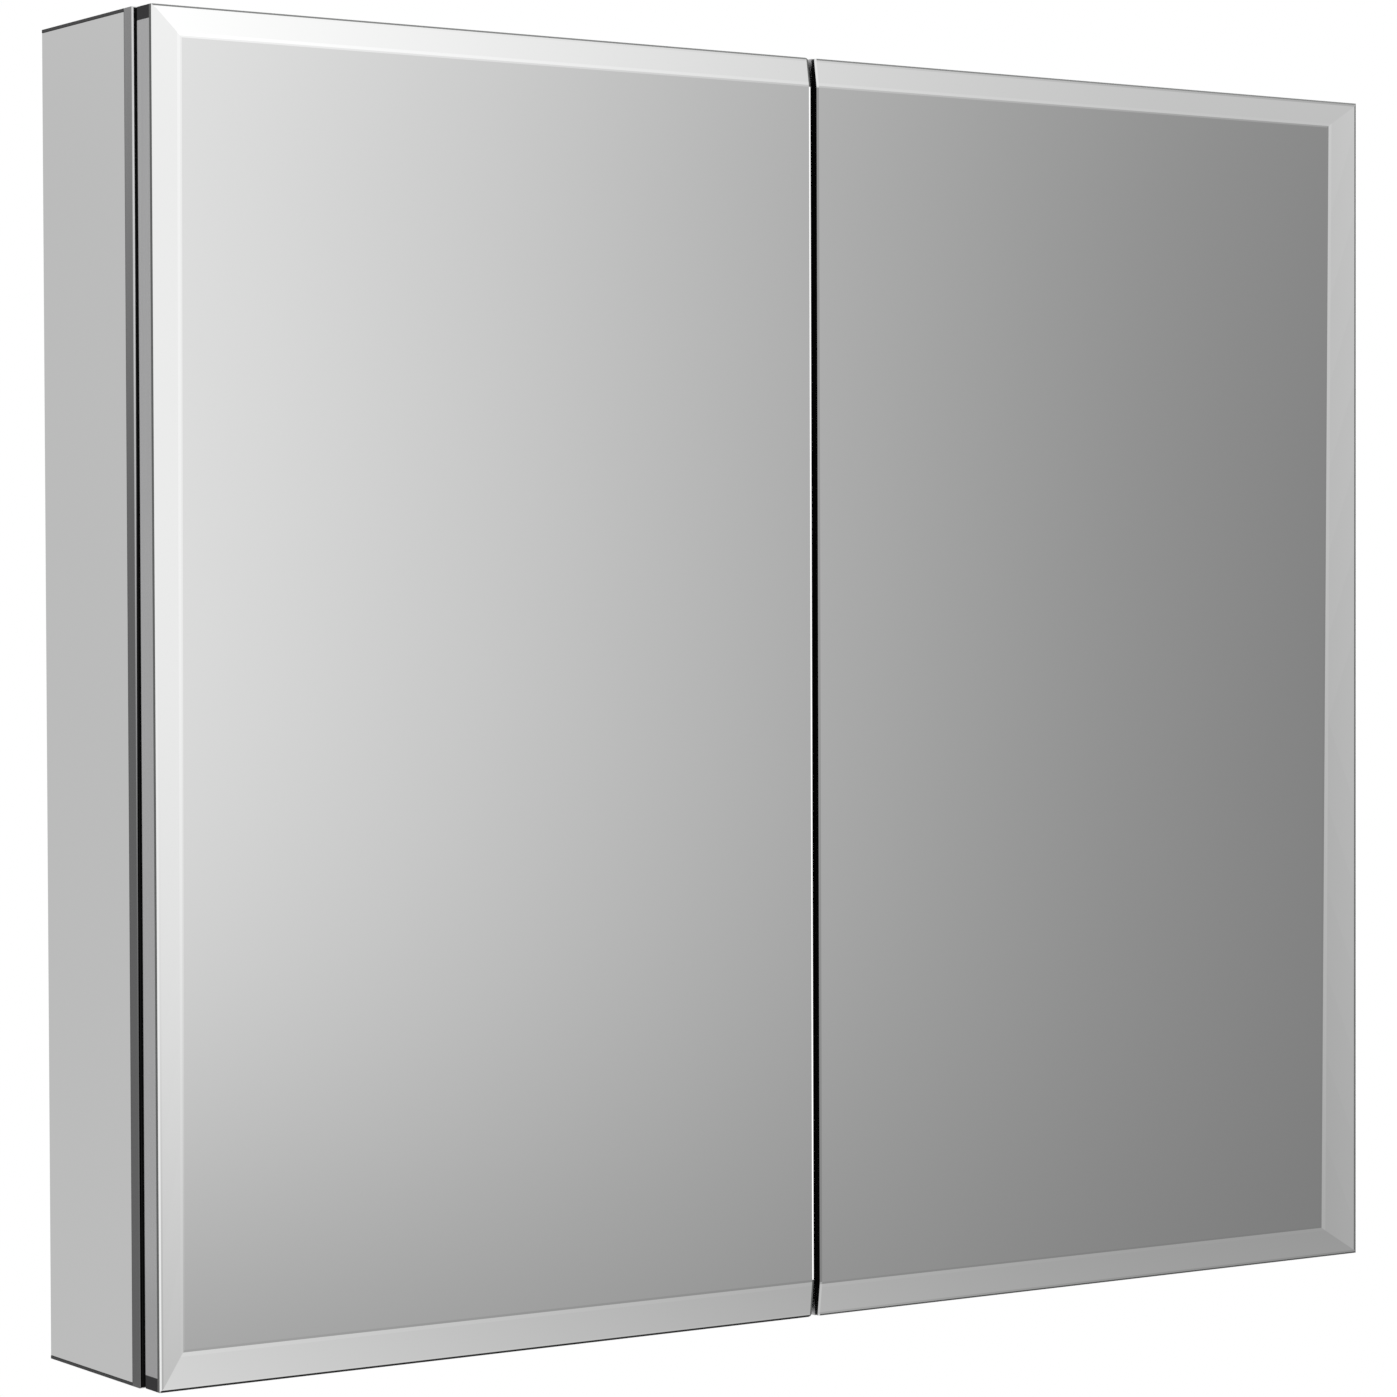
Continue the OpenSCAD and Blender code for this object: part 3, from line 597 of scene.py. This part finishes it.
def build_shelf(name, node):
    """Glass shelf: a rounded-corner outline carried through a half-round edge profile.

    With r half the thickness, the outline is inset by bulge r (1 - sin t) at height r (1 - cos t), for
    t from 0 to 180 degrees, so that its edge is a flattened half round; flat caps close top and bottom."""
    low, high = (np.array(corner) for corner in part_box(node))
    radius, least_radius, turns, steps, bulge = 5 * MM, 0.2 * MM, 8, 8, 0.35
    angles = np.linspace(0, math.pi / 2, turns + 1)
    half = (high[2] - low[2]) / 2
    sweep = np.linspace(0, math.pi, steps + 1)
    inset, level = half * bulge * (1 - np.sin(sweep)), half * (1 - np.cos(sweep))
    front, back = low[1], high[1]
    rings = []
    for gap, height in zip(inset, level):
        rounded = max(radius - gap, least_radius)
        left, right = low[0] + gap + rounded, high[0] - gap - rounded
        x = [left - rounded * np.sin(angles), right + rounded * np.cos(angles)]
        y = [front + gap + rounded - rounded * np.cos(angles),
             front + gap + rounded - rounded * np.sin(angles)]
        ring_x = np.concatenate([x[0][::-1], x[1][::-1], [high[0] - gap, low[0] + gap]])
        ring_y = np.concatenate([y[0][::-1], y[1][::-1], [back - gap, back - gap]])
        rings.append(np.stack([ring_x, ring_y, np.full(ring_x.size, low[2] + height)], -1))
    count = rings[0].shape[0]
    points = np.concatenate(rings)
    ring = np.arange(count)
    after = np.roll(ring, -1)
    quads = [np.stack([ring + k * count, after + k * count, after + (k + 1) * count,
                       ring + (k + 1) * count], -1) for k in range(steps)]
    faces = np.concatenate(quads).tolist()
    kinds = [1] * len(faces) + [0, 0]
    faces += [list(range(count))[::-1], [steps * count + k for k in range(count)]]
    made = piece(name, points, faces, kinds, [SHELF, SHELF_EDGE], "case", "shelf_glass", node)
    made.data.polygons.foreach_set("use_smooth", np.array(kinds, bool))
    return made


def build_gasket(name, node):
    """Black dust seal: a ribbed profile carried round the face frame with mitred corners.

    At the share t across its width the seal stands the thickness times (trough + ripple times the
    square of cos(2 pi waves t)) times the square root of 1 - (2 t - 1)^flank over the face frame. Each
    corner takes that profile along its own diagonal."""
    low, high = (np.array(corner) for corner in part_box(node))
    base = high[1]
    thick = high[1] - low[1]
    width, stations, waves, trough, ripple, flank = 11 * MM, 45, 4, 0.62, 0.38, 16
    along = np.linspace(0, 1, stations)
    ribs = trough + ripple * np.cos(2 * math.pi * along * waves) ** 2
    height = thick * ribs * np.sqrt(np.clip(1 - (2 * along - 1) ** flank, 0, 1))
    inset = np.concatenate([[0], along * width, [width]])
    rise = np.concatenate([[0], height, [0]])
    corners = []
    for side_x, side_z in ((-1, -1), (1, -1), (1, 1), (-1, 1)):
        edge_x = low[0] + inset if side_x < 0 else high[0] - inset
        edge_z = low[2] + inset if side_z < 0 else high[2] - inset
        corners.append(np.stack([edge_x, base - rise, edge_z], -1))
    count = inset.size
    points = np.concatenate(corners)
    ring = np.arange(count)
    after = np.roll(ring, -1)
    faces = []
    for k in range(4):
        here, there = k * count, (k + 1) % 4 * count
        faces.append(np.stack([ring + here, ring + there, after + there, after + here], -1))
    faces = np.concatenate(faces)
    return piece(name, points, faces, [0] * len(faces), [RUBBER], "case", "black_rubber", node)


def build_pieces():
    for side in ("left", "right"):
        build_door_mirror(side, side + "_door")
        build_plain_mirror("door_inside_mirror_" + side, "inner_mirror_" + side, side + "_door", "+y")
    build_plain_mirror("case_side_mirror_left", "side_mirror_left", "case", "-x", SIDE_SILVER)
    build_plain_mirror("case_side_mirror_right", "side_mirror_right", "case", "+x", SIDE_SILVER)
    build_plain_mirror("case_back_mirror", "back_mirror", "case", "-y")
    build_shelf("glass_shelf_upper", "shelf_upper")
    build_shelf("glass_shelf_lower", "shelf_lower")
    build_gasket("door_gasket", "dust_seal")


# ---------------------------------------------------------------- studio

# Light by direction, in degrees: bearings from the front towards +X, heights over the horizon. A pair is
# the centre and width of a bell, or the start and end of a step; the other numbers are strengths
EVEN_LIGHT = 0.9
FLAG, FLAG_START, FLAG_END, FLAG_HEIGHT = 0.75, (20, 45), (45, 60), (0, 35)
DIM_FLOOR, DIM_FLOOR_BEARING, DIM_FLOOR_HEIGHT = 0.6, (20, 30), (-13, 7)
CEILING, CEILING_HEIGHT = 0.4, (5, 20)
RIGHT_LAMP, RIGHT_LAMP_BEARING, RIGHT_LAMP_HEIGHT = 0.2, (75, 15), (-5, 15)
REAR = 0.42


def build_studio():
    """Even soft light from all round, shaped by five large soft areas.

    A dark flag stands to the right of the front and a dim area lies on the floor before the cabinet.
    The ceiling is brighter, a soft lamp stands at the far right, and the rear is dimmer. The camera
    itself sees plain white."""
    world = bpy.data.worlds.new("studio")
    bpy.context.scene.world = world
    tree = Tree(world)
    direction = tree.node("ShaderNodeTexCoord").outputs["Generated"]
    x, y, z = (Term(tree, out) for out in tree.node("ShaderNodeSeparateXYZ", None, {0: direction}).outputs)
    bearing = x.math("ARCTAN2", -y) * DEGREES
    height = z.math("ARCSINE") * DEGREES
    behind = y.step(0, 1)
    across_flag = bearing.step(*FLAG_START) * (1 - bearing.step(*FLAG_END))
    flag = 1 - FLAG * across_flag * height.bell(*FLAG_HEIGHT)
    dim_floor = 1 - DIM_FLOOR * bearing.bell(*DIM_FLOOR_BEARING) * height.bell(*DIM_FLOOR_HEIGHT)
    ceiling = 1 + CEILING * height.step(*CEILING_HEIGHT)
    right_lamp = RIGHT_LAMP * bearing.bell(*RIGHT_LAMP_BEARING) * height.bell(*RIGHT_LAMP_HEIGHT)
    rear = 1 - REAR * behind
    light = (EVEN_LIGHT + right_lamp) * flag * dim_floor * ceiling * rear
    ray = tree.node("ShaderNodeLightPath").outputs["Is Camera Ray"]
    seen = tree.node("ShaderNodeCombineXYZ", None, {0: light, 1: light, 2: light}).outputs[0]
    shown = tree.blend(ray, seen, colour(1, 1, 1))
    glow = tree.node("ShaderNodeBackground", None, {"Color": shown, "Strength": 1.0})
    tree.node("ShaderNodeOutputWorld", None, {"Surface": glow.outputs[0]})


FLOOR_LEVEL, FLOOR_RADII, FLOOR_SIDES, FLOOR_FADE = -1.6, (0.02, 0.8, 1.6, 2.2), 128, (1.2, 2.15)


def build_floor():
    """Pale round studio floor as deep below the cabinet as a bathroom floor, fading out at its rim."""
    turns = np.linspace(0, 2 * math.pi, FLOOR_SIDES + 1)[:-1]
    points = [[0, 0, FLOOR_LEVEL]]
    for radius in FLOOR_RADII:
        points += np.stack([radius * np.sin(turns), radius * np.cos(turns),
                            np.full(FLOOR_SIDES, FLOOR_LEVEL)], -1).tolist()
    ring = np.arange(FLOOR_SIDES)
    after = np.roll(ring, -1)
    faces = [[0, 1 + int(after[k]), 1 + int(ring[k])] for k in range(FLOOR_SIDES)]
    for band in range(len(FLOOR_RADII) - 1):
        here, there = 1 + band * FLOOR_SIDES, 1 + (band + 1) * FLOOR_SIDES
        faces += np.stack([ring + here, after + here, after + there, ring + there], -1).tolist()
    mesh = bpy.data.meshes.new("floor")
    mesh.from_pydata(points, [], faces)
    floor = bpy.data.objects.new("floor", mesh)
    bpy.context.scene.collection.objects.link(floor)

    def recipe(tree):
        at, (x, y, _) = tree.place()
        mottle = tree.noise(at, 3.0, 4.0)
        tint = tree.blend(mottle, colour(0.80, 0.80, 0.80), colour(0.84, 0.84, 0.84))
        reach = (x * x + y * y).math("SQRT")
        return {"Base Color": tint, "Roughness": 0.6 + 0.1 * mottle, "Alpha": 1 - reach.step(*FLOOR_FADE)}
    mesh.materials.append(material("pale_floor", recipe))


CAMERA_PLACE = (-1.2882, -1.9392, 0.0458)
YAW, PITCH, ROLL = -33.773, -1.296, 0.194
SENSOR_WIDTH, FOCAL_LENGTH = 36.0, 109.82
NEAREST, FARTHEST = 0.05, 50.0


def build_camera():
    """Camera to the left of the front, level with the cabinet's middle."""
    lens = bpy.data.cameras.new("camera")
    lens.sensor_width, lens.lens = SENSOR_WIDTH, FOCAL_LENGTH
    lens.clip_start, lens.clip_end = NEAREST, FARTHEST
    camera = bpy.data.objects.new("camera", lens)
    bpy.context.scene.collection.objects.link(camera)
    yaw, pitch, roll = (math.radians(v) for v in (YAW, PITCH, ROLL))
    turn = (Matrix.Rotation(yaw, 3, "Z") @ Matrix.Rotation(pitch, 3, "X")
            @ Matrix.Rotation(roll, 3, "Y"))
    right, ahead, up = (turn @ Vector(v) for v in ((1, 0, 0), (0, 1, 0), (0, 0, 1)))
    camera.matrix_world = Matrix([(*row, where) for row, where in zip(
        zip(right, up, -ahead), CAMERA_PLACE)] + [(0, 0, 0, 1)])
    bpy.context.scene.camera = camera


bpy.context.scene.view_settings.view_transform = "Standard"
build_camera()
build_studio()
build_floor()
dress_nodes()
build_pieces()
